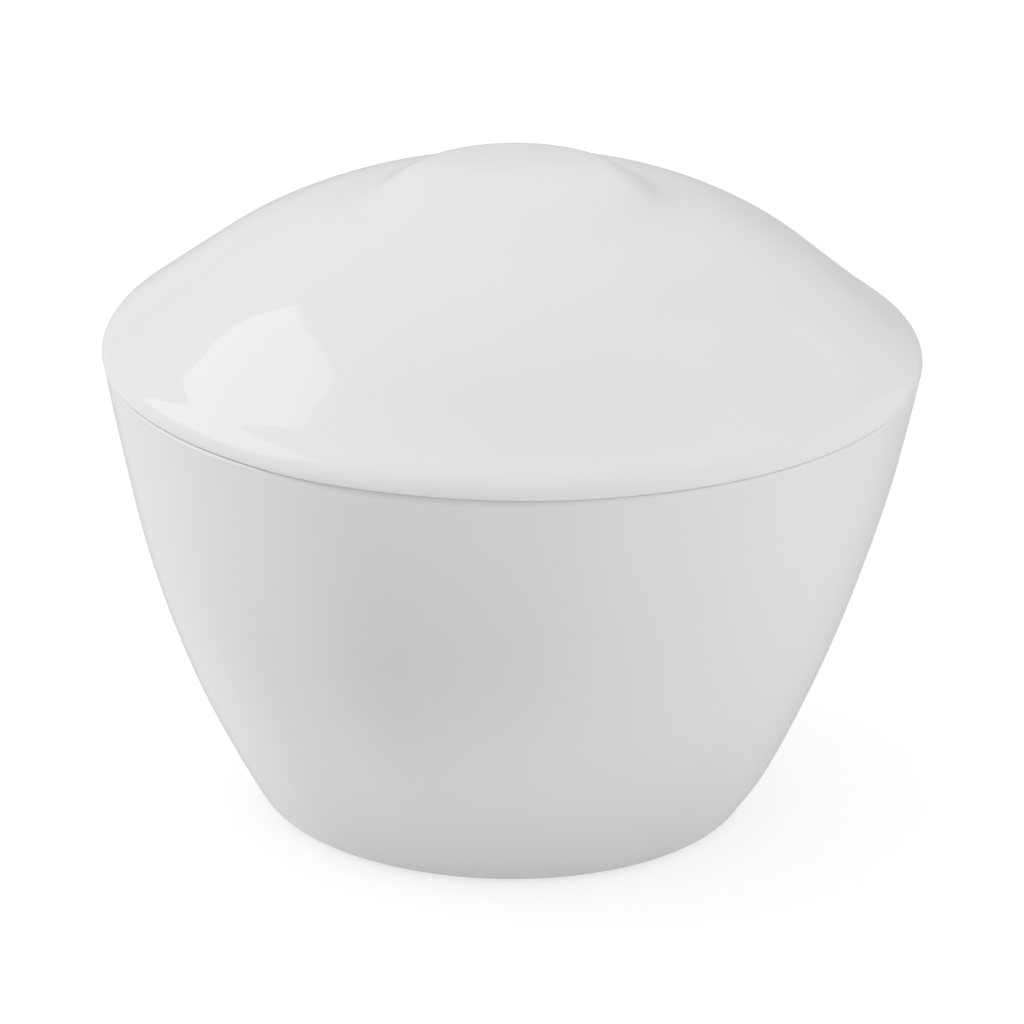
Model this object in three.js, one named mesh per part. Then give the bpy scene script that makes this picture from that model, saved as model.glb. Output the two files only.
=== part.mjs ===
// Sugar bowl with a drop-on lid: two pieces of glazed white porcelain, both
// turned about +Z, with the lid's low knob eased off at the front (-Y).
// Millimetres, +Z up, origin at the centre of the ring that the bowl stands on.

import * as THREE from 'three';

// ---- driving dimensions (mm) ------------------------------------------------

const RIM_RADIUS = 54.0; // outside radius where bowl and lid meet
const BOWL_HEIGHT = 62.1; // standing plane to the flat seat on the lip
const WALL_TAPER = [0.2168, 0.0858, 0.098, 0.0031]; // share of the rim radius lost going down the wall, by powers of depth
const WALL_AT_LIP = 3.2; // wall thickness just under the lip
const WALL_AT_FOOT = 3.9; // wall thickness where it runs into the floor
const LIP_ROUND_OUT = 0.7; // rounding of the lip, outside
const LIP_ROUND_IN = 0.6; // rounding of the lip, inside
const HEEL_ROUND = 3.44; // rounding between wall and foot ring
const FOOT_OUT = 30.16; // foot ring, outer edge of the flat it stands on
const FOOT_IN = 27.0; // foot ring, inner edge of that flat
const RECESS_DEPTH = 1.7; // underside above the standing plane, at the ring
const RECESS_CROWN = 2.2; // underside above the standing plane, at the axis
const FLOOR_TOP = 5.6; // inside floor above the standing plane
const FLOOR_FLAT = 22.5; // radius of the flat inside floor
const FLOOR_FILLET_DEPTH = 0.8; // share of the depth where the wall starts to run into the floor

const SEAT_GAP = 0.25; // gap between the lip's seat and the lid's bearing face
const LID_ZERO = 62.15; // height that the crown table counts from
const LID_WALL = 3.1; // lid thickness
const LID_UNDER_ROUND = 0.35; // rounding of the lid's lower edge
// outside of the lid along its back, from the axis to its edge: radius, height
// above LID_ZERO.  Knob out to about 17, hollow ring near 22, the long slope, a
// slight flare, then the rounded edge.
const LID_CROWN = [
  [0.0, 25.74], [4.5, 25.63], [8.6, 25.33], [11.88, 24.96], [13.5, 24.63], [15.12, 23.98],
  [16.75, 22.89], [18.37, 21.78], [19.99, 21.05], [22.14, 20.49], [24.85, 19.86], [28.09, 18.86],
  [31.86, 17.27], [36.19, 15.05], [41.05, 11.86], [44.3, 9.16], [47.6, 6.39], [49.6, 4.8], [51.2, 3.73],
  [52.25, 3.07], [52.83, 2.61], [53.29, 2.14], [53.62, 1.65], [53.84, 1.19], [53.96, 0.76],
];
// how far the lid's front lies below its back, at the same radii as LID_CROWN:
// the knob stands up at the back and sides and runs out into the slope in front
const FRONT_DROP = [0.0, 0.19, 0.61, 1.05, 1.17, 0.98, 0.38, -0.24, -0.47, -0.35, -0.09, 0.0];
const FRONT_WHOLE = 20; // degrees to each side of -Y with the whole of that drop
const FRONT_NONE = 120; // degrees to each side of -Y where it has died out
const UNDERSIDE_TO = 41.1; // radius of the last crown point that the underside follows
const FLANGE_ROOT_OUT = 49.55; // locating flange, outer radius at the root
const FLANGE_TIP_OUT = 48.75; // locating flange, outer radius near the tip
const FLANGE_IN = 45.85; // locating flange, inner radius
const FLANGE_DROP = 6.15; // locating flange, depth below the bearing face

const SEGMENTS = 48; // facets around each turned piece

const PORCELAIN = { color: 0xf1f1ef, roughness: 0.16, metalness: 0.0 };

// ---- helpers ----------------------------------------------------------------

const at = (r, z) => new THREE.Vector2(r, z);

// points on a circle of radius rad about (r, z), from angle a0 to a1 in degrees
function arc(r, z, rad, a0, a1, steps) {
  const out = [];
  for (let i = 0; i <= steps; i++) {
    const a = THREE.MathUtils.degToRad(a0 + ((a1 - a0) * i) / steps);
    out.push(at(r + rad * Math.cos(a), z + rad * Math.sin(a)));
  }
  return out;
}

function bend(p0, p1, p2, steps) {
  return new THREE.QuadraticBezierCurve(p0, p1, p2).getPoints(steps);
}

// profile (radius, height) from the axis back to the axis, turned about +Z
function turned(name, profile) {
  const geometry = new THREE.LatheGeometry(profile, SEGMENTS);
  geometry.rotateX(Math.PI / 2);
  const mesh = new THREE.Mesh(geometry, new THREE.MeshStandardMaterial(PORCELAIN));
  mesh.name = name;
  return mesh;
}

// ---- bowl -------------------------------------------------------------------

// outside of the wall at share t of the depth below the lip, with its lean
function wall(t) {
  let loss = 0;
  let slope = 0;
  WALL_TAPER.forEach((c, k) => {
    loss += c * t ** (k + 1);
    slope += (k + 1) * c * t ** k;
  });
  const lean = Math.atan((RIM_RADIUS * slope) / BOWL_HEIGHT);
  return { p: at(RIM_RADIUS * (1 - loss), BOWL_HEIGHT * (1 - t)), lean };
}

// inside of the wall, a wall thickness in from the outside
function wallInside(t) {
  const { p, lean } = wall(t);
  const thick = THREE.MathUtils.lerp(WALL_AT_LIP, WALL_AT_FOOT, t / FLOOR_FILLET_DEPTH);
  return at(p.x - thick * Math.cos(lean), p.y + thick * Math.sin(lean));
}

function bowlProfile() {
  const heelLean = THREE.MathUtils.radToDeg(wall(0.972).lean);
  const lipOut = wall(LIP_ROUND_OUT / BOWL_HEIGHT).p;
  const lipIn = wallInside(0).x;
  const end = wallInside(FLOOR_FILLET_DEPTH);
  const corner = at(end.x - (end.y - FLOOR_TOP) * Math.tan(wall(FLOOR_FILLET_DEPTH).lean), FLOOR_TOP);
  return [
    // underside and foot ring
    at(0, RECESS_CROWN),
    at(14, RECESS_CROWN - 0.12),
    at(24.6, RECESS_DEPTH),
    at(25.7, RECESS_DEPTH - 0.3),
    at(26.3, 0.55),
    at(FOOT_IN, 0),
    // heel and outside wall
    ...arc(FOOT_OUT, HEEL_ROUND, HEEL_ROUND, -90, -heelLean, 4),
    ...[0.9, 0.81, 0.71, 0.6, 0.48, 0.36, 0.24, 0.12, 0.04].map((t) => wall(t).p),
    // lip and seat
    ...arc(lipOut.x - LIP_ROUND_OUT, BOWL_HEIGHT - LIP_ROUND_OUT, LIP_ROUND_OUT, 0, 90, 3),
    ...arc(lipIn + LIP_ROUND_IN, BOWL_HEIGHT - LIP_ROUND_IN, LIP_ROUND_IN, 90, 180, 3),
    // inside wall and floor
    ...[0.06, 0.16, 0.28, 0.4, 0.52, 0.64, 0.73].map(wallInside),
    ...bend(end, corner, at(FLOOR_FLAT, FLOOR_TOP), 6),
    at(10, FLOOR_TOP - 0.12),
    at(0, FLOOR_TOP - 0.18),
  ];
}

// ---- lid --------------------------------------------------------------------

// outside of the lid as a list from the axis to the end of the slope
function crown() {
  return LID_CROWN.map(([r, h]) => at(r, LID_ZERO + h));
}

// underside of the lid below the crown point i, a lid thickness in
function crownInside(points, i) {
  const a = points[Math.max(i - 1, 0)];
  const b = points[Math.min(i + 1, points.length - 1)];
  const slope = i === 0 ? 0 : Math.atan2(a.y - b.y, b.x - a.x);
  return at(points[i].x - LID_WALL * Math.sin(slope), points[i].y - LID_WALL * Math.cos(slope));
}

function lidProfile() {
  const seat = BOWL_HEIGHT + SEAT_GAP;
  const tip = seat - FLANGE_DROP;
  const outside = crown();
  const last = outside.findIndex((p) => p.x > UNDERSIDE_TO) - 1; // from there a fillet runs into the flange
  const inside = [];
  for (let i = 0; i <= last; i++) inside.push(crownInside(outside, i));
  const domeEnd = inside[inside.length - 1];
  const slopeEnd = (outside[last].y - outside[last + 1].y) / (outside[last + 1].x - outside[last].x);
  const corner = at(FLANGE_IN, domeEnd.y - (FLANGE_IN - domeEnd.x) * slopeEnd);
  return [
    // underside of the crown, down the inside of the flange
    ...inside,
    ...bend(domeEnd, corner, at(FLANGE_IN, seat), 5).slice(1),
    at(FLANGE_IN - 0.05, tip + 1.0),
    // tip and outside of the flange
    at(FLANGE_IN + 0.25, tip + 0.3),
    at(FLANGE_IN + 0.95, tip),
    at(FLANGE_TIP_OUT - 0.95, tip),
    at(FLANGE_TIP_OUT - 0.25, tip + 0.3),
    at(FLANGE_TIP_OUT, tip + 1.0),
    at(FLANGE_ROOT_OUT, seat - 0.55),
    at(FLANGE_ROOT_OUT + 0.16, seat - 0.16),
    at(FLANGE_ROOT_OUT + 0.55, seat),
    // bearing face and rounded edge
    at(RIM_RADIUS - LID_UNDER_ROUND, seat),
    at(RIM_RADIUS - 0.1, seat + 0.1),
    at(RIM_RADIUS, seat + LID_UNDER_ROUND),
    // slope, hollow ring and knob, back to the axis
    ...outside.reverse(),
  ];
}

// drop of the front at radius r, between the values at the crown's points
function frontDrop(r) {
  const i = LID_CROWN.findIndex(([x]) => x > r);
  if (i < 1 || i >= FRONT_DROP.length) return 0;
  const t = (r - LID_CROWN[i - 1][0]) / (LID_CROWN[i][0] - LID_CROWN[i - 1][0]);
  return THREE.MathUtils.lerp(FRONT_DROP[i - 1], FRONT_DROP[i], t);
}

// lowers the front of the crown, inside and outside alike
function easeFront(mesh) {
  const points = mesh.geometry.attributes.position;
  for (let i = 0; i < points.count; i++) {
    const x = points.getX(i);
    const y = points.getY(i);
    const turn = Math.abs(THREE.MathUtils.radToDeg(Math.atan2(x, -y)));
    const share = 1 - THREE.MathUtils.smoothstep(turn, FRONT_WHOLE, FRONT_NONE);
    points.setZ(i, points.getZ(i) - share * frontDrop(Math.hypot(x, y)));
  }
  mesh.geometry.computeVertexNormals();
  return mesh;
}

// ---- assembly ---------------------------------------------------------------

const sugarBowl = new THREE.Group();
sugarBowl.name = 'sugar_bowl';
sugarBowl.add(turned('bowl', bowlProfile()), easeFront(turned('lid', lidProfile())));

export default sugarBowl;
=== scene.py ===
import math

import bpy
import numpy as np
from mathutils import Matrix, Vector


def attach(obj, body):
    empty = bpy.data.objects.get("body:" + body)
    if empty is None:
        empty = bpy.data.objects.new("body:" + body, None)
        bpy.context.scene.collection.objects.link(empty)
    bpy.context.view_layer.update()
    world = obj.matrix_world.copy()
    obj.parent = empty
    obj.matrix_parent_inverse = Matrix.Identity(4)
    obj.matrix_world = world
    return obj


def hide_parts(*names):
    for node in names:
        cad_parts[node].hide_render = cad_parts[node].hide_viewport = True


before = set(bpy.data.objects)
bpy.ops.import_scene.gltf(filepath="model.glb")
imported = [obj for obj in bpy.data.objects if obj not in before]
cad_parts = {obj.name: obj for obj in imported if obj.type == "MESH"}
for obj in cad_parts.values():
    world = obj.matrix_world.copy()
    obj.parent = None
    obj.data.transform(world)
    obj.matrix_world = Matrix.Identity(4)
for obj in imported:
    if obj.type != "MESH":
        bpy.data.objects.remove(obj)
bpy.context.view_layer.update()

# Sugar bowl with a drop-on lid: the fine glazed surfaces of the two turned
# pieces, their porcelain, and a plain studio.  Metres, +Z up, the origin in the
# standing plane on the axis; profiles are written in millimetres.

MM = 0.001

# ---- driving dimensions (mm), the same as the construction ---------------------

RIM_RADIUS = 54.0
BOWL_HEIGHT = 62.1
WALL_TAPER = (0.2168, 0.0858, 0.098, 0.0031)
WALL_AT_LIP = 3.2
WALL_AT_FOOT = 3.9
LIP_ROUND_OUT = 0.35
LIP_ROUND_IN = 0.6
HEEL_ROUND = 3.44
FOOT_OUT = 30.16
FOOT_IN = 27.0
FLOOR_TOP = 5.6
FLOOR_FLAT = 22.5
FLOOR_FILLET_DEPTH = 0.8

SEAT_GAP = 0.04  # what the glaze leaves of the clearance in the construction
LID_ZERO = 62.15
LID_WALL = 3.1
LID_EDGE_START = 0.324
LID_UNDER_ROUND = 0.3
FLANGE_ROOT_OUT = 49.55
FLANGE_TIP_OUT = 48.75
FLANGE_IN = 45.85
FLANGE_DROP = 6.15
# slope of the lid's outside in degrees against the share of the rim radius, along
# its back; the extra slope of the knob's side: height, place, width inwards, width
# outwards; and the rounded edge: slope where it starts, length, how late it turns
SLOPE_AT = (0.0, 0.15, 0.30, 0.42, 0.50, 0.58, 0.66, 0.72, 0.77, 0.82, 0.86, 0.89, 0.915, 0.94, 0.9516)
SLOPE = (0.0, 5.0, 8.0, 11.7, 18.1, 24.6, 28.68, 33.56, 38.45, 40.82, 39.67, 38.83, 37.63, 32.13, 31.3)
KNOB_SIDE = (28.45, 0.3107, 0.055, 0.0557)
EDGE_TURN = (31.3, 0.0818, 1.8708)
# the same slope along its front, where the knob runs out, and the angles to each
# side of -Y between which the front passes into the back
FRONT_AT = (0.0, 0.06, 0.12, 0.18, 0.24, 0.30, 0.36, 0.42, 0.46, 0.50)
FRONT_SLOPE = (0.0, 5.56, 10.01, 13.34, 15.57, 16.68, 17.24, 17.79, 18.68, 18.1)
FRONT_WHOLE, FRONT_NONE = 20.0, 120.0
# out of true, as fired ware is: how far the bowl's axis drifts to the right, by height;
# by azimuth from the front round to the right, how far the lid's edge overhangs the lip,
# how much the seam rises and how far the lid stands off the seat; how much the back of
# the lid's crown leans; by share of the rim radius, how much too high its sides and back
# lie on the right and on the left; and how far the bowl's heel is sponged away at the right
# and its lip at the front, all along and deeper in the middle, and how far the lip flares at the left
DRIFT_AT = (0.0, 7.4, 14.2, 20.9, 27.7, 34.4, 41.2, 47.9, 54.7, 62.1)
DRIFT = (0.03, 0.01, -0.15, -0.22, -0.23, -0.18, -0.04, 0.12, 0.15, 0.18)
SEAM_AT = (-180, -135, -100, -75, -65, -56, -47, -38, -30, -20, -8, 5, 18, 32, 50, 75, 100, 135, 180)
OVERHANG = (0.0, 0.0, 0.1, 0.12, 0.08, -0.03, -0.08, 0.0, 0.35, 0.7, 0.75, 0.5, 0.2, 0.09, 0.06, 0.08, 0.05, 0.0, 0.0)
RISE = (0.0, 0.0, 0.0, -0.04, -0.08, -0.11, -0.12, -0.09, -0.06, 0.1, 0.22, 0.28, 0.29, 0.18, 0.07, 0.0, 0.0, 0.0, 0.0)
STANDS = (0.0, 0.0, 0.0, -0.01, -0.02, -0.02, -0.015, 0.03, 0.17, 0.27, 0.25, 0.08, 0.0, -0.015, -0.025, -0.025, -0.02, 0.0, 0.0)
LEAN = 0.0087
WARP_AT = (0.0, 0.18, 0.24, 0.30, 0.36, 0.42, 0.50, 0.60, 0.70, 0.76, 0.80, 0.835, 0.87, 0.905, 0.94, 0.97, 0.985, 1.0)
WARP_RIGHT = (0.0, 0.03, 0.07, 0.07, 0.04, 0.05, 0.09, 0.01, -0.16, -0.26, -0.27, -0.23, -0.23, -0.28, -0.43, -0.58, -0.5, 0.0)
WARP_LEFT = (0.0, 0.0, 0.01, 0.01, -0.01, -0.03, -0.07, -0.07, -0.08, -0.11, -0.05, 0.14, 0.29, 0.34, 0.23, -0.01, -0.01, 0.0)
HEEL_SPONGED = 0.4
LIP_SPONGED, LIP_FLARE = (0.35, 0.3), 0.18

SEGMENTS = 320

# linear colours of the glaze where it is thin, usual and deep
THIN_GLAZE = (0.805, 0.803, 0.799)
WHITE_GLAZE = (0.801, 0.801, 0.801)
DEEP_GLAZE = (0.794, 0.799, 0.803)


# ---- profiles -------------------------------------------------------------------

def spline(xs, ys):
    """Natural cubic spline through the points, as a function of an array."""
    x = np.asarray(xs, float)
    y = np.asarray(ys, float)
    n = len(x)
    h = np.diff(x)
    a = np.zeros((n, n))
    b = np.zeros(n)
    a[0, 0] = a[-1, -1] = 1.0
    for i in range(1, n - 1):
        a[i, i - 1], a[i, i], a[i, i + 1] = h[i - 1], 2 * (h[i - 1] + h[i]), h[i]
        b[i] = 6 * ((y[i + 1] - y[i]) / h[i] - (y[i] - y[i - 1]) / h[i - 1])
    m = np.linalg.solve(a, b)

    def at(v):
        v = np.clip(np.asarray(v, float), x[0], x[-1])
        i = np.clip(np.searchsorted(x, v) - 1, 0, n - 2)
        p, q = x[i + 1] - v, v - x[i]
        return (m[i] * p**3 + m[i + 1] * q**3) / (6 * h[i]) + (y[i] / h[i] - m[i] * h[i] / 6) * p + (y[i + 1] / h[i] - m[i + 1] * h[i] / 6) * q

    return at


def arc(r, z, rad, a0, a1, steps):
    a = np.radians(np.linspace(a0, a1, steps + 1))
    return np.stack([r + rad * np.cos(a), z + rad * np.sin(a)], 1)


def bend(p0, p1, p2, steps):
    t = np.linspace(0, 1, steps + 1)[:, None]
    return (1 - t) ** 2 * np.array(p0) + 2 * t * (1 - t) * np.array(p1) + t**2 * np.array(p2)


def line(p0, p1, steps):
    t = np.linspace(0, 1, steps + 1)[:, None]
    return (1 - t) * np.array(p0) + t * np.array(p1)


def even(points, step):
    """The same curve with points about one step apart."""
    s = np.concatenate([[0], np.cumsum(np.linalg.norm(np.diff(points, axis=0), axis=1))])
    u = np.linspace(0, s[-1], max(2, int(round(s[-1] / step)) + 1))
    return np.stack([np.interp(u, s, points[:, 0]), np.interp(u, s, points[:, 1])], 1)


def joined(*runs):
    """Runs of profile points, each glazed or bare, as one list without doubled points."""
    pts, marks = [], []
    for run, mark in runs:
        for p in run:
            if pts and math.hypot(p[0] - pts[-1][0], p[1] - pts[-1][1]) < 1e-4:
                continue
            pts.append((max(0.0, float(p[0])), float(p[1])))
            marks.append(mark)
    return np.array(pts), np.array(marks, float)


def wall(t):
    t = np.asarray(t, float)
    loss = sum(c * t ** (k + 1) for k, c in enumerate(WALL_TAPER))
    slope = sum((k + 1) * c * t**k for k, c in enumerate(WALL_TAPER))
    lean = np.arctan(RIM_RADIUS * slope / BOWL_HEIGHT)
    return np.stack([RIM_RADIUS * (1 - loss), BOWL_HEIGHT * (1 - t)], -1), lean


def wall_inside(t):
    p, lean = wall(t)
    thick = WALL_AT_LIP + (WALL_AT_FOOT - WALL_AT_LIP) * np.asarray(t) / FLOOR_FILLET_DEPTH
    return np.stack([p[..., 0] - thick * np.cos(lean), p[..., 1] + thick * np.sin(lean)], -1)


GLAZE, BARE = 0.0, 1.0


def bowl_profile():
    heel_lean = math.degrees(float(wall(0.972)[1]))
    lean = math.degrees(float(wall(0.0)[1]))
    lip_at = LIP_ROUND_OUT * (1 + math.sin(math.radians(lean))) / BOWL_HEIGHT
    p, a = wall(lip_at)
    lip_out = float(p[0]) - LIP_ROUND_OUT * math.cos(float(a))
    lip_in = float(wall_inside(0.0)[0])
    end = wall_inside(FLOOR_FILLET_DEPTH)
    corner = (end[0] - (end[1] - FLOOR_TOP) * math.tan(float(wall(FLOOR_FILLET_DEPTH)[1])), FLOOR_TOP)
    under = np.linspace(0, 24.0, 60)
    return joined(
        (np.stack([under, 2.2 - 0.46 * (under / 24.0) ** 2], 1)[::2], GLAZE),
        (bend((24.0, 1.74), (25.95, 1.66), (26.12, 0.9), 9), GLAZE),
        (bend((26.12, 0.9), (26.26, 0.03), (FOOT_IN, 0.0), 8), GLAZE),
        (line((FOOT_IN, 0.0), (FOOT_OUT, 0.0), 8), BARE),
        (arc(FOOT_OUT, HEEL_ROUND, HEEL_ROUND, -90, -heel_lean, 14), GLAZE),
        (even(wall(np.linspace(0.955, 0.04, 400))[0], 0.95), GLAZE),
        (even(wall(np.linspace(0.04, lip_at, 100))[0], 0.3), GLAZE),
        (arc(lip_out, BOWL_HEIGHT - LIP_ROUND_OUT, LIP_ROUND_OUT, -lean, 90, 10), GLAZE),
        (line((lip_out, BOWL_HEIGHT), (lip_in + LIP_ROUND_IN, BOWL_HEIGHT), 5), BARE),
        (arc(lip_in + LIP_ROUND_IN, BOWL_HEIGHT - LIP_ROUND_IN, LIP_ROUND_IN, 90, 180 - lean, 10), GLAZE),
        (even(wall_inside(np.linspace(0.03, FLOOR_FILLET_DEPTH, 300)), 1.05), GLAZE),
        (bend(end, corner, (FLOOR_FLAT, FLOOR_TOP), 18), GLAZE),
        (even(np.stack([np.linspace(FLOOR_FLAT, 0, 60), FLOOR_TOP - 0.18 * (1 - np.linspace(1, 0, 60) ** 2)], 1), 1.0), GLAZE),
    )


def back_slope(r):
    r = np.asarray(r, float)
    high, place, w_in, w_out = KNOB_SIDE
    return spline(SLOPE_AT, SLOPE)(r) + high * np.exp(-(((r - place) / np.where(r < place, w_in, w_out)) ** 2))


def summed(y, x):
    """Running integral of y over x."""
    return np.concatenate([[0], np.cumsum(0.5 * (y[1:] + y[:-1]) * np.diff(x))])


def crown():
    """Outside of the lid along its back: the rounded edge, and from there to the axis."""
    start, length, late = EDGE_TURN
    t = np.linspace(0, 1, 400)
    a = np.radians(start + (90 - start) * t**late)
    across, down = summed(np.cos(a), t) * length, summed(np.sin(a), t) * length
    edge = np.stack([1 - across[-1] + across, down[-1] - down], 1) * RIM_RADIUS + np.array([0, LID_ZERO + LID_EDGE_START])
    r = np.linspace(edge[0, 0] / RIM_RADIUS, 0, 3000)
    z = summed(np.tan(np.radians(back_slope(r))), -r)
    return edge[::-1], np.stack([r * RIM_RADIUS, edge[0, 1] + z * RIM_RADIUS], 1)


def front_drop():
    """How far the lid's front lies below its back, as a table over the radius in millimetres."""
    r = np.linspace(FRONT_AT[-1], 0, 1200)
    back = summed(np.tan(np.radians(back_slope(r))), -r)
    front = summed(np.tan(np.radians(spline(FRONT_AT, FRONT_SLOPE)(r))), -r)
    drop = (back - front) - (back[-1] - front[-1]) * np.linspace(0, 1, len(r)) ** 2
    return r[::-1] * RIM_RADIUS, drop[::-1] * RIM_RADIUS


DROP = front_drop()


def lid_profile():
    seat = BOWL_HEIGHT + SEAT_GAP
    tip = seat - FLANGE_DROP
    rim, out = crown()
    tan = np.gradient(out, axis=0)
    tan /= np.linalg.norm(tan, axis=1)[:, None]
    under = out - LID_WALL * np.stack([tan[:, 1], -tan[:, 0]], 1)
    under = under[under[:, 0] >= 0]
    under = under[under[:, 0] < 39.3][::-1]
    end = under[-1]
    lean = (under[-2, 1] - end[1]) / (end[0] - under[-2, 0])
    corner = (FLANGE_IN, end[1] - (FLANGE_IN - end[0]) * lean)
    return joined(
        (even(np.concatenate([[[0.0, under[0, 1]]], under]), 0.95), GLAZE),
        (bend(end, corner, (FLANGE_IN, seat), 16), GLAZE),
        (line((FLANGE_IN, seat), (FLANGE_IN - 0.05, tip + 1.0), 6), GLAZE),
        (bend((FLANGE_IN - 0.05, tip + 1.0), (FLANGE_IN - 0.05, tip), (FLANGE_IN + 0.95, tip), 8), GLAZE),
        (line((FLANGE_IN + 0.95, tip), (FLANGE_TIP_OUT - 0.95, tip), 3), GLAZE),
        (bend((FLANGE_TIP_OUT - 0.95, tip), (FLANGE_TIP_OUT, tip), (FLANGE_TIP_OUT, tip + 1.0), 8), GLAZE),
        (line((FLANGE_TIP_OUT, tip + 1.0), (FLANGE_ROOT_OUT, seat - 0.55), 6), GLAZE),
        (bend((FLANGE_ROOT_OUT, seat - 0.55), (FLANGE_ROOT_OUT + 0.02, seat), (FLANGE_ROOT_OUT + 0.55, seat), 7), GLAZE),
        (line((FLANGE_ROOT_OUT + 0.55, seat), (RIM_RADIUS - LID_UNDER_ROUND, seat), 6), BARE),
        (arc(RIM_RADIUS - LID_UNDER_ROUND, seat + LID_UNDER_ROUND, LID_UNDER_ROUND, -90, 0, 8), GLAZE),
        (even(rim[rim[:, 1] > seat + LID_UNDER_ROUND + 0.05], 0.24), GLAZE),
        (even(out, 0.5), GLAZE),
    )


def glaze_marks(profile):
    """Where the glaze runs thin, on sharp outer edges, and where it pools, in hollows, from the bend of the profile."""
    step = np.linalg.norm(np.diff(profile, axis=0), axis=1)
    s = np.concatenate([[0], np.cumsum(step)])
    u = np.arange(0, s[-1], 0.1)
    r, z = np.interp(u, s, profile[:, 0]), np.interp(u, s, profile[:, 1])
    bell = np.exp(-0.5 * (np.arange(-25, 26) * 0.1 / 0.6) ** 2)
    turn = np.unwrap(np.arctan2(np.gradient(z), np.gradient(r)))
    turn = np.convolve(np.pad(turn, 25, mode="edge"), bell / bell.sum(), mode="valid")
    bent = np.interp(s, u, np.gradient(turn, 0.1))
    return np.clip((bent - 0.22) / 0.6, 0, 1), np.clip(-bent / 0.13, 0, 1)


def eased(value, low, high):
    t = np.clip((np.asarray(value, float) - low) / (high - low), 0, 1)
    return t * t * (3 - 2 * t)


def azimuth(a):
    """Degrees from the front (-Y) round to the right, of points at the angle a from +X."""
    return np.degrees(np.arctan2(np.cos(a), -np.sin(a)))


def bowl_form(r, z, a):
    rise = spline(SEAM_AT, RISE)(azimuth(a)) * eased(z, BOWL_HEIGHT - 12.0, BOWL_HEIGHT)
    if r > wall(1 - z / BOWL_HEIGHT)[0][0] - 2.5:
        right = eased(azimuth(a), 25, 75) * (1 - eased(azimuth(a), 115, 165))
        front = eased(azimuth(a), -45, -28) * (1 - eased(azimuth(a), 15, 45))
        lip = LIP_SPONGED[0] * front * math.exp(-(((z - BOWL_HEIGHT) / 0.7) ** 2))
        lip = lip + LIP_SPONGED[1] * np.exp(-(((azimuth(a) + 10) / 14) ** 2)) * math.exp(-(((z - BOWL_HEIGHT) / 1.2) ** 2))
        left = eased(azimuth(a), -80, -60) * (1 - eased(azimuth(a), -42, -28))
        lip = lip - LIP_FLARE * left * math.exp(-((z - BOWL_HEIGHT) ** 2))
        r = r - HEEL_SPONGED * right * math.exp(-(((z - 2.0) / 2.3) ** 2)) - lip * eased(r, 51.6, 53.4)
    return r * np.cos(a) + spline(DRIFT_AT, DRIFT)(z), r * np.sin(a), z + rise


def lid_form(r, z, a):
    side = np.abs(azimuth(a))
    out = r + spline(SEAM_AT, OVERHANG)(azimuth(a)) * np.clip((r - 20) / (RIM_RADIUS - 20), 0, 1)
    x, y = out * np.cos(a) + DRIFT[-1], out * np.sin(a)
    drop = np.interp(r, *DROP, right=0.0) * (1 - eased(side, FRONT_WHOLE, FRONT_NONE))
    lean = LEAN * x * eased(z, BOWL_HEIGHT + 9.0, BOWL_HEIGHT + 19.0) * eased(side, 60, 110)
    rise = spline(SEAM_AT, np.add(RISE, STANDS))(azimuth(a)) * (1 - eased(z, BOWL_HEIGHT + 1.0, BOWL_HEIGHT + 10.0))
    half = eased(x / RIM_RADIUS, -0.12, 0.12)
    warp = half * spline(WARP_AT, WARP_RIGHT)(r / RIM_RADIUS) + (1 - half) * spline(WARP_AT, WARP_LEFT)(r / RIM_RADIUS)
    warp = warp * eased(side, 72, 104) * eased(z, BOWL_HEIGHT + 0.2, BOWL_HEIGHT + 2.2)
    return x, y, z - drop + lean + rise + warp


def turned(name, profile, marks, form):
    """The profile turned about +Z, closed at the axis, with its finish as point attributes; form places its rings."""
    angles = np.arange(SEGMENTS) * 2 * math.pi / SEGMENTS
    thin, pool = glaze_marks(profile)
    verts, faces, rows, finish = [], [], [], []
    for (r, z), *mark in zip(profile, marks, thin, pool):
        count = SEGMENTS if r > 1e-4 else 1
        rows.append(range(len(verts), len(verts) + count))
        verts += (np.stack(form(r, z, angles[:count]), 1) * MM).tolist()
        finish += [mark] * count
    for lo, hi in zip(rows[:-1], rows[1:]):
        for k in range(SEGMENTS):
            j = (k + 1) % SEGMENTS
            if len(lo) == 1:
                faces.append((lo[0], hi[j], hi[k]))
            elif len(hi) == 1:
                faces.append((lo[k], lo[j], hi[0]))
            else:
                faces.append((lo[k], lo[j], hi[j], hi[k]))
    mesh = bpy.data.meshes.new(name)
    mesh.from_pydata(verts, [], faces)
    for i, key in enumerate(("bare", "thin", "pool")):
        mesh.attributes.new(key, "FLOAT", "POINT").data.foreach_set("value", np.array(finish, np.float32)[:, i].copy())
    mesh.polygons.foreach_set("use_smooth", np.ones(len(mesh.polygons), bool))
    mesh.update()
    obj = bpy.data.objects.new(name, mesh)
    bpy.context.scene.collection.objects.link(obj)
    return obj


# ---- porcelain ------------------------------------------------------------------

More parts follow.
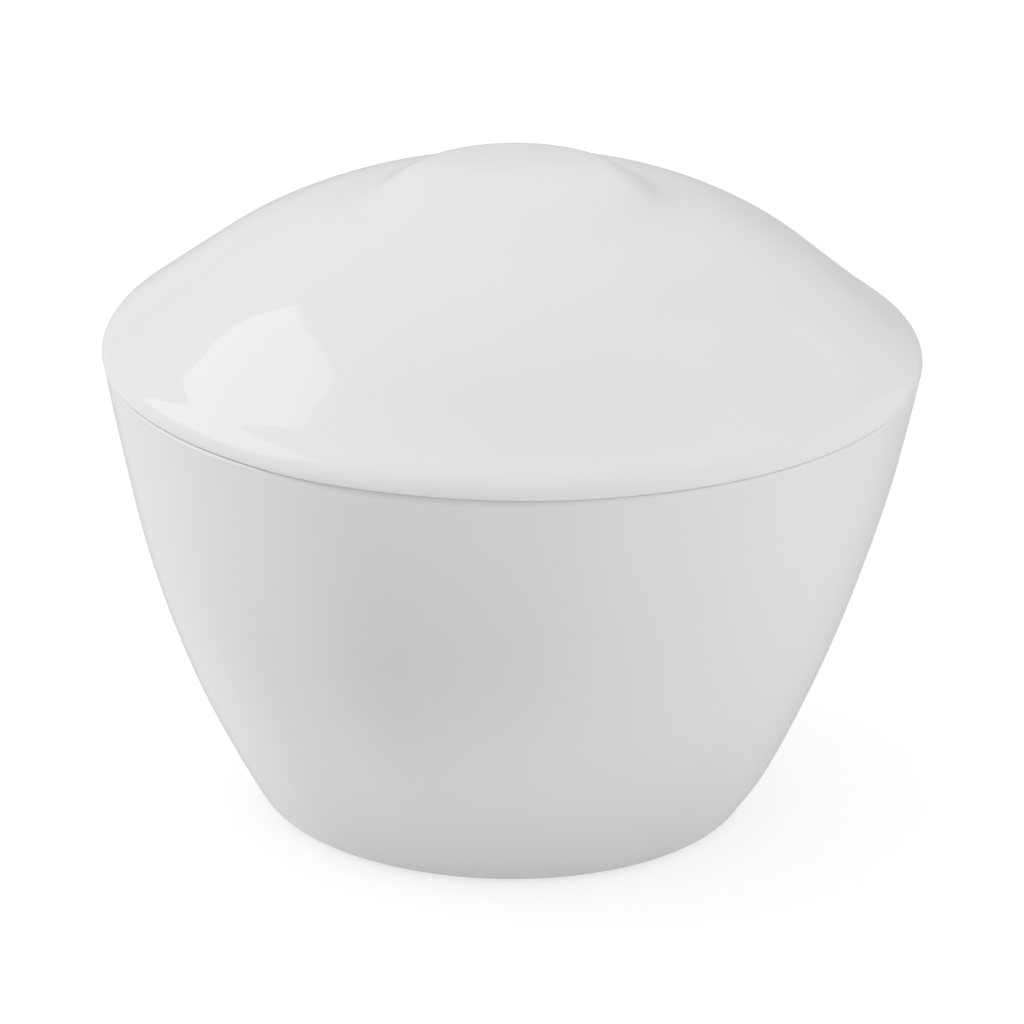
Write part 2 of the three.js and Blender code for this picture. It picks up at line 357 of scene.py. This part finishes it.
def porcelain():
    """White porcelain: clear glaze over a white body, bare where the pieces stood or met in the kiln."""
    mat = bpy.data.materials.new("porcelain_glaze")
    mat.use_nodes = True
    tree = mat.node_tree
    shader = tree.nodes["Principled BSDF"]

    def node(kind, sockets, **settings):
        made = tree.nodes.new(kind)
        for key, value in settings.items():
            setattr(made, key, value)
        for key, value in sockets.items():
            if isinstance(value, bpy.types.NodeSocket):
                tree.links.new(value, made.inputs[key])
            else:
                made.inputs[key].default_value = value
        return made

    def calc(kind, *values):
        return node("ShaderNodeMath", dict(enumerate(values)), operation=kind).outputs[0]

    def span(value, low, high, to_low, to_high):
        return node("ShaderNodeMapRange", {"Value": value, "From Min": low, "From Max": high, "To Min": to_low, "To Max": to_high}, interpolation_type="SMOOTHSTEP").outputs["Result"]

    def blend(share, a, b):
        return node("ShaderNodeMix", {"Factor": share, 6: a, 7: b}, data_type="RGBA").outputs[2]

    place = node("ShaderNodeTexCoord", {}).outputs["Object"]

    def noise(scale, detail, rough=0.5):
        return node("ShaderNodeTexNoise", {"Vector": place, "Scale": scale, "Detail": detail, "Roughness": rough}).outputs[0]

    def ramp(value, *stops):
        made = node("ShaderNodeValToRGB", {"Fac": value})
        while len(made.color_ramp.elements) < len(stops):
            made.color_ramp.elements.new(0.5)
        for element, (at, colour) in zip(made.color_ramp.elements, stops):
            element.position, element.color = at, (*colour, 1)
        return made.outputs["Color"]

    def mark(key):
        return node("ShaderNodeAttribute", {}, attribute_name=key).outputs["Fac"]

    # glaze line: frayed by a few tenths of a millimetre
    grit = noise(900.0, 3.0, 0.6)
    frayed = calc("MULTIPLY_ADD", calc("SUBTRACT", grit, 0.5), 0.5, mark("bare"))
    bare = span(frayed, 0.46, 0.6, 0.0, 1.0)

    # glaze thickness: slow clouds, thin on edges, pooled in hollows
    clouds = noise(26.0, 2.0, 0.55)
    depth = calc("MULTIPLY_ADD", mark("pool"), 0.3, clouds)
    depth = calc("MULTIPLY_ADD", mark("thin"), -0.35, depth)
    glaze = ramp(depth, (0.12, THIN_GLAZE), (0.5, WHITE_GLAZE), (0.9, DEEP_GLAZE))
    # sparse pin-point specks under the glaze
    cells = node("ShaderNodeTexVoronoi", {"Vector": place, "Scale": 170.0})
    chosen = span(node("ShaderNodeSeparateColor", {0: cells.outputs["Color"]}).outputs[0], 0.955, 0.965, 0.0, 1.0)
    speck = calc("MULTIPLY", span(cells.outputs["Distance"], 0.012, 0.045, 0.4, 0.0), chosen)
    colour = blend(speck, glaze, (0.46, 0.43, 0.39, 1))
    # bare clay: warmer, with a little dirt
    clay = ramp(grit, (0.25, (0.60, 0.575, 0.535)), (0.7, (0.745, 0.725, 0.69)))
    tree.links.new(blend(bare, colour, clay), shader.inputs["Base Color"])

    # gloss: soft drift over the glaze, duller where it is thin, dry on bare clay
    dull = calc("MULTIPLY_ADD", mark("thin"), 0.02, span(clouds, 0.3, 0.7, 0.044, 0.062))
    dry = span(grit, 0.3, 0.7, 0.56, 0.7)
    rough = node("ShaderNodeMix", {0: bare, 2: dull, 3: dry}, data_type="FLOAT").outputs[0]
    tree.links.new(rough, shader.inputs["Roughness"])

    # relief: slow waves left by the pour, faint orange peel, and the clay's grain with its turning rings
    waves = node("ShaderNodeBump", {"Strength": 1.0, "Distance": 2e-5, "Height": noise(60.0, 0.0)})
    peel = node("ShaderNodeBump", {"Strength": 1.0, "Distance": 1.2e-6, "Height": noise(750.0, 0.0), "Normal": waves.outputs[0]})
    rings = node("ShaderNodeTexWave", {"Vector": place, "Scale": 520.0, "Distortion": 1.2, "Detail": 0.0}, wave_type="RINGS", rings_direction="Z")
    grain = calc("MULTIPLY", calc("MULTIPLY_ADD", rings.outputs["Fac"], 0.25, noise(4600.0, 1.0)), bare)
    relief = node("ShaderNodeBump", {"Strength": 1.0, "Distance": 3.5e-5, "Height": grain, "Normal": peel.outputs[0]})
    tree.links.new(relief.outputs[0], shader.inputs["Normal"])

    shader.inputs["IOR"].default_value = 1.5
    return mat


# ---- studio ---------------------------------------------------------------------

def direction(az, el):
    """Unit vector; azimuth 0 is towards the camera (-Y), positive towards +X."""
    a, e = math.radians(az), math.radians(el)
    return Vector((math.cos(e) * math.sin(a), -math.cos(e) * math.cos(a), math.sin(e)))


AIM = Vector((0, 0, 0.06215))  # the seam's centre
ELEVATION, ROLL = 20.435, 0.884
DISTANCE = 1.08
FOCAL_PX, FRAME = 8182.0, 1024
AIM_PX = (511.1, 353.0)


def camera():
    e, k = math.radians(ELEVATION), math.radians(ROLL)
    right, up, ahead = Vector((1, 0, 0)), Vector((0, math.sin(e), math.cos(e))), Vector((0, math.cos(e), -math.sin(e)))
    across, above = math.cos(k) * right + math.sin(k) * up, -math.sin(k) * right + math.cos(k) * up
    centre = (ahead * FOCAL_PX + across * (FRAME / 2 - AIM_PX[0]) - above * (FRAME / 2 - AIM_PX[1])).normalized()
    start = Matrix((across, above, -ahead)).transposed()
    data = bpy.data.cameras.new("camera")
    data.sensor_width = 36.0
    data.lens = FOCAL_PX * 36.0 / FRAME
    data.clip_start, data.clip_end = 0.01, 50.0
    cam = bpy.data.objects.new("camera", data)
    cam.matrix_world = Matrix.Translation(AIM - ahead * DISTANCE) @ (ahead.rotation_difference(centre).to_matrix() @ start).to_4x4()
    bpy.context.scene.collection.objects.link(cam)
    bpy.context.scene.camera = cam


def floor(name, radius, height, shade, glow):
    """A flat pale disc under the object."""
    mesh = bpy.data.meshes.new(name)
    ring = [(radius * math.cos(2 * math.pi * k / 96), radius * math.sin(2 * math.pi * k / 96), height) for k in range(96)]
    mesh.from_pydata(ring, [], [tuple(range(96))])
    obj = bpy.data.objects.new(name, mesh)
    bpy.context.scene.collection.objects.link(obj)
    mat = bpy.data.materials.new(name)
    mat.use_nodes = True
    shader = mat.node_tree.nodes["Principled BSDF"]
    shader.inputs["Base Color"].default_value = (shade, shade, shade, 1)
    shader.inputs["Roughness"].default_value = 1.0
    shader.inputs["Specular IOR Level"].default_value = 0.0
    shader.inputs["Emission Color"].default_value = (1, 1, 1, 1)
    shader.inputs["Emission Strength"].default_value = glow
    mesh.materials.append(mat)
    return obj


def panel(name, az, el, away, width, height, along, watts):
    """A soft rectangular light facing the object; along is the direction of its width."""
    data = bpy.data.lights.new(name, "AREA")
    data.shape = "RECTANGLE"
    data.size, data.size_y = width, height
    data.energy = watts
    obj = bpy.data.objects.new(name, data)
    out = direction(az, el)
    x = (Vector(along) - out * out.dot(Vector(along))).normalized()
    obj.matrix_world = Matrix.Translation(AIM + out * away) @ Matrix((x, out.cross(x), out)).transposed().to_4x4()
    obj.visible_camera = False
    bpy.context.scene.collection.objects.link(obj)
    return obj


# light of the surround: at each elevation, its strength by azimuth from the camera's
# side round to the right in equal steps; below all of them and above all of them
SURROUND = (
    (-50, (0.27, 0.95, 1.05, 0.94, 0.83, 1.09, 0.97, 0.00)),
    (-20, (0.59, 0.81, 1.05, 1.00, 0.67, 0.50, 0.60, 0.86, 1.06, 1.04, 0.71, 0.65)),
    (8, (
        0.75, 0.85, 0.96, 1.08, 1.18, 1.20, 1.04, 0.87, 0.73, 0.68, 0.58, 0.47,
        0.60, 0.75, 0.68, 0.78, 0.99, 1.21, 1.26, 1.19, 1.00, 0.93, 0.85, 0.81,
    )),
    (42, (0.67, 0.93, 0.90, 0.64, 0.94, 0.90, 1.24, 0.84)),
)
BELOW, ABOVE = 1.37, 0.88

# a white wall at the right: its strength, the azimuths between which it grows and where it
# ends, and the elevations between which it grows and fades
WALL = 0.2
WALL_GROWS, WALL_ENDS = (60, 110), (138.1, 139.3)
WALL_FOOT, WALL_TOP = (-15, 5), (55, 80)


def sky():
    """A soft white surround, dimmer towards the camera and behind the object."""
    world = bpy.data.worlds.new("studio")
    bpy.context.scene.world = world
    world.use_nodes = True
    nodes, links = world.node_tree.nodes, world.node_tree.links
    to = nodes.new("ShaderNodeTexCoord").outputs["Generated"]
    round_ = nodes.new("ShaderNodeTexGradient")
    round_.gradient_type = "RADIAL"
    links.new(to, round_.inputs["Vector"])
    split = nodes.new("ShaderNodeSeparateXYZ")
    links.new(to, split.inputs[0])

    def mixed(share, a, b):
        made = nodes.new("ShaderNodeMix")
        for socket, value in ((0, share), (2, a), (3, b)):
            if isinstance(value, float):
                made.inputs[socket].default_value = value
            else:
                links.new(value, made.inputs[socket])
        return made.outputs[0]

    def between(value, low, high, to_low=0.0, to_high=1.0):
        made = nodes.new("ShaderNodeMapRange")
        made.interpolation_type = "SMOOTHSTEP"
        for key, number in (("From Min", low), ("From Max", high), ("To Min", to_low), ("To Max", to_high)):
            made.inputs[key].default_value = number
        links.new(value, made.inputs["Value"])
        return made.outputs["Result"]

    def calc(kind, a, b):
        made = nodes.new("ShaderNodeMath")
        made.operation = kind
        links.new(a, made.inputs[0])
        if isinstance(b, float):
            made.inputs[1].default_value = b
        else:
            links.new(b, made.inputs[1])
        return made.outputs[0]

    def height(el):
        return math.sin(math.radians(el))

    light, low = BELOW / 2, -90
    for el, values in SURROUND + ((90, None),):
        rise = between(split.outputs["Z"], height(low), height(el))
        low = el
        band = ABOVE / 2
        if values:
            ramp = nodes.new("ShaderNodeValToRGB")
            ramp.color_ramp.interpolation = "EASE"
            n = len(values)
            while len(ramp.color_ramp.elements) <= n:
                ramp.color_ramp.elements.new(0.5)
            for k, stop in enumerate(ramp.color_ramp.elements):
                v = values[(k - n // 4) % n] / 2
                stop.position, stop.color = k / n, (v, v, v, 1)
            links.new(round_.outputs["Fac"], ramp.inputs["Fac"])
            band = ramp.outputs["Color"]
        light = mixed(rise, light, band)
    grows, ends = ([az / 360 + 0.25 for az in pair] for pair in (WALL_GROWS, WALL_ENDS))
    across = calc("MULTIPLY", between(round_.outputs["Fac"], *grows), between(round_.outputs["Fac"], *ends, 1.0, 0.0))
    upright = calc("MULTIPLY", between(split.outputs["Z"], *map(height, WALL_FOOT)), between(split.outputs["Z"], *map(height, WALL_TOP), 1.0, 0.0))
    light = calc("ADD", light, calc("MULTIPLY", calc("MULTIPLY", across, upright), WALL / 2))
    # the background itself is plain
    light = mixed(nodes.new("ShaderNodeLightPath").outputs["Is Camera Ray"], light, 0.5)
    background = nodes["Background"]
    background.inputs["Color"].default_value = (1, 1, 1, 1)
    links.new(calc("MULTIPLY", light, 2.0), background.inputs["Strength"])


# ---- assembly -------------------------------------------------------------------

glaze = porcelain()
for name, profile, form in (("bowl", bowl_profile(), bowl_form), ("lid", lid_profile(), lid_form)):
    piece = turned(name + "_porcelain", *profile, form)
    piece.data.materials.append(glaze)
    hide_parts(name)
    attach(piece, name)

camera()
# the wide floor is what the camera sees; what it throws back on to the object comes
# from the small one, close by, and beyond that from the surround below the horizon
wide = floor("floor", 3.0, 0.0, 0.42, 0.665)
wide.visible_diffuse = wide.visible_glossy = wide.visible_shadow = False
near = floor("floor_near", 0.07, -0.0002, 0.67, 0.0)
near.visible_camera = near.visible_glossy = False
sky()
panel("softbox_left", -106.4, 36.8, 1.2, 0.86, 0.68, (-0.1189, -0.978, 0.1716), 1.63)
bpy.context.scene.view_settings.view_transform = "Standard"
